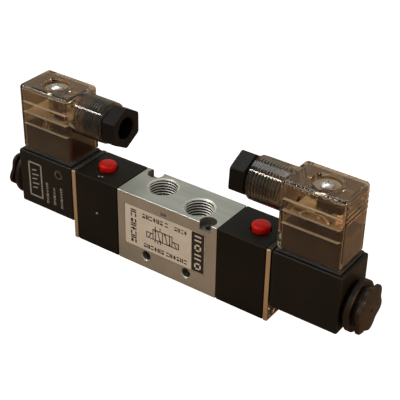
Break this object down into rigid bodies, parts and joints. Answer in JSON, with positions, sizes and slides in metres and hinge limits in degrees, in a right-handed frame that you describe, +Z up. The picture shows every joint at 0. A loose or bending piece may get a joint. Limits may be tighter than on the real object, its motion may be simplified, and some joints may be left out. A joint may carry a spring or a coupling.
{
  "type": "solenoid directional valve",
  "caption": "Double-solenoid pneumatic directional valve with an aluminium spool body, pilot ends, coils, manual overrides and clear plug connectors.",
  "frame": {"origin": "centre of the footprint at the height of the body's underside", "axes": "+X along the spool towards the right-hand solenoid, -Y out of the labelled front face, +Z up towards the outlet ports and connectors"},
  "size_m": [0.1822, 0.022, 0.0674],
  "materials": {
    "aluminium": "machined, satin",
    "label": "printed film",
    "black_anodised": "satin black",
    "black_resin": "moulded, satin",
    "black_nylon": "moulded",
    "red_plastic": "satin",
    "yellow_zinc": "yellow zinc plated",
    "steel": "bright",
    "brass": "bright",
    "copper": "enamelled wire",
    "rubber": "matt",
    "smoked_clear": "clear, smoked brown",
    "dark_insert": "moulded",
    "circuit_board": "printed board",
    "white_polymer": "moulded"
  },
  "bodies": {
    "valve": {"valve_body": "aluminium", "label_plate": "label", "right_pilot_block": "black_anodised", "right_fixing_plate": "yellow_zinc", "right_block_screw_1": "steel", "right_block_screw_2": "steel", "right_armature_tube": "steel", "right_coil_casing": "black_resin", "right_coil_winding": "copper", "right_line_blade": "brass", "right_neutral_blade": "brass", "right_earth_blade": "brass", "right_override_spring": "steel", "right_plunger_spring": "steel", "left_pilot_block": "black_anodised", "left_fixing_plate": "yellow_zinc", "left_block_screw_1": "steel", "left_block_screw_2": "steel", "left_armature_tube": "steel", "left_coil_casing": "black_resin", "left_coil_winding": "copper", "left_line_blade": "brass", "left_neutral_blade": "brass", "left_earth_blade": "brass", "left_override_spring": "steel", "left_plunger_spring": "steel"},
    "spool": {"spool": "steel", "spool_seal_1": "rubber", "spool_seal_2": "rubber", "spool_seal_3": "rubber", "spool_seal_4": "rubber", "spool_seal_5": "rubber", "spool_seal_6": "rubber", "right_piston": "white_polymer", "left_piston": "white_polymer"},
    "right_button": {"right_override_button": "red_plastic"},
    "right_plunger": {"right_plunger": "steel", "right_plunger_seal": "rubber"},
    "right_nut_ring": {"right_nut_seal": "rubber"},
    "right_coil_nut": {"right_coil_nut": "black_nylon"},
    "right_connector": {"right_connector_gasket": "rubber", "right_connector_housing": "smoked_clear", "right_terminal_block": "dark_insert", "right_led_board": "circuit_board", "right_connector_screw": "steel"},
    "right_gland_ring": {"right_gland_grommet": "rubber"},
    "right_gland_nut": {"right_gland_nut": "black_nylon"},
    "left_button": {"left_override_button": "red_plastic"},
    "left_plunger": {"left_plunger": "steel", "left_plunger_seal": "rubber"},
    "left_nut_ring": {"left_nut_seal": "rubber"},
    "left_coil_nut": {"left_coil_nut": "black_nylon"},
    "left_connector": {"left_connector_gasket": "rubber", "left_connector_housing": "smoked_clear", "left_terminal_block": "dark_insert", "left_led_board": "circuit_board", "left_connector_screw": "steel"},
    "left_gland_ring": {"left_gland_grommet": "rubber"},
    "left_gland_nut": {"left_gland_nut": "black_nylon"}
  },
  "joints": [
    {"name": "spool_shift", "type": "slide", "parent": "valve", "child": "spool", "axis": [1, 0, 0], "range_m": [0, 0.004]},
    {"name": "right_override_push", "type": "slide", "parent": "valve", "child": "right_button", "axis": [0, 0, -1], "range_m": [0, 0.002], "stiffness_N_per_m": 500, "springref_m": -0.002, "deforming": ["right_override_spring"]},
    {"name": "right_plunger_stroke", "type": "slide", "parent": "valve", "child": "right_plunger", "axis": [1, 0, 0], "range_m": [0, 0.0007], "stiffness_N_per_m": 300, "springref_m": -0.003, "deforming": ["right_plunger_spring"]},
    {"name": "right_nut_travel", "type": "slide", "parent": "valve", "child": "right_nut_ring", "axis": [1, 0, 0], "range_m": [0, 0.0032]},
    {"name": "right_nut_turn", "type": "hinge", "parent": "right_nut_ring", "child": "right_coil_nut", "pos_m": [0.086, 0, 0.0175], "axis": [1, 0, 0], "range_deg": [0, 1440]},
    {"name": "right_connector_unplug", "type": "slide", "parent": "valve", "child": "right_connector", "axis": [0, 0, 1], "range_m": [0, 0.014]},
    {"name": "right_gland_travel", "type": "slide", "parent": "right_connector", "child": "right_gland_ring", "axis": [-1, 0, 0], "range_m": [0, 0.00225]},
    {"name": "right_gland_turn", "type": "hinge", "parent": "right_gland_ring", "child": "right_gland_nut", "pos_m": [0.031, 0, 0.0579], "axis": [-1, 0, 0], "range_deg": [0, 540]},
    {"name": "left_override_push", "type": "slide", "parent": "valve", "child": "left_button", "axis": [0, 0, -1], "range_m": [0, 0.002], "stiffness_N_per_m": 500, "springref_m": -0.002, "deforming": ["left_override_spring"]},
    {"name": "left_plunger_stroke", "type": "slide", "parent": "valve", "child": "left_plunger", "axis": [-1, 0, 0], "range_m": [0, 0.0007], "stiffness_N_per_m": 300, "springref_m": -0.003, "deforming": ["left_plunger_spring"]},
    {"name": "left_nut_travel", "type": "slide", "parent": "valve", "child": "left_nut_ring", "axis": [-1, 0, 0], "range_m": [0, 0.0032]},
    {"name": "left_nut_turn", "type": "hinge", "parent": "left_nut_ring", "child": "left_coil_nut", "pos_m": [-0.086, 0, 0.0175], "axis": [-1, 0, 0], "range_deg": [0, 1440]},
    {"name": "left_connector_unplug", "type": "slide", "parent": "valve", "child": "left_connector", "axis": [0, 0, 1], "range_m": [0, 0.014]},
    {"name": "left_gland_travel", "type": "slide", "parent": "left_connector", "child": "left_gland_ring", "axis": [1, 0, 0], "range_m": [0, 0.00225]},
    {"name": "left_gland_turn", "type": "hinge", "parent": "left_gland_ring", "child": "left_gland_nut", "pos_m": [-0.031, 0, 0.0579], "axis": [1, 0, 0], "range_deg": [0, 540]}
  ],
  "couplings": [
    {"joint": "right_nut_turn", "follows": "right_nut_travel", "rad_per_m": 7854},
    {"joint": "right_gland_turn", "follows": "right_gland_travel", "rad_per_m": 4188.8},
    {"joint": "left_nut_turn", "follows": "left_nut_travel", "rad_per_m": 7854},
    {"joint": "left_gland_turn", "follows": "left_gland_travel", "rad_per_m": 4188.8}
  ]
}
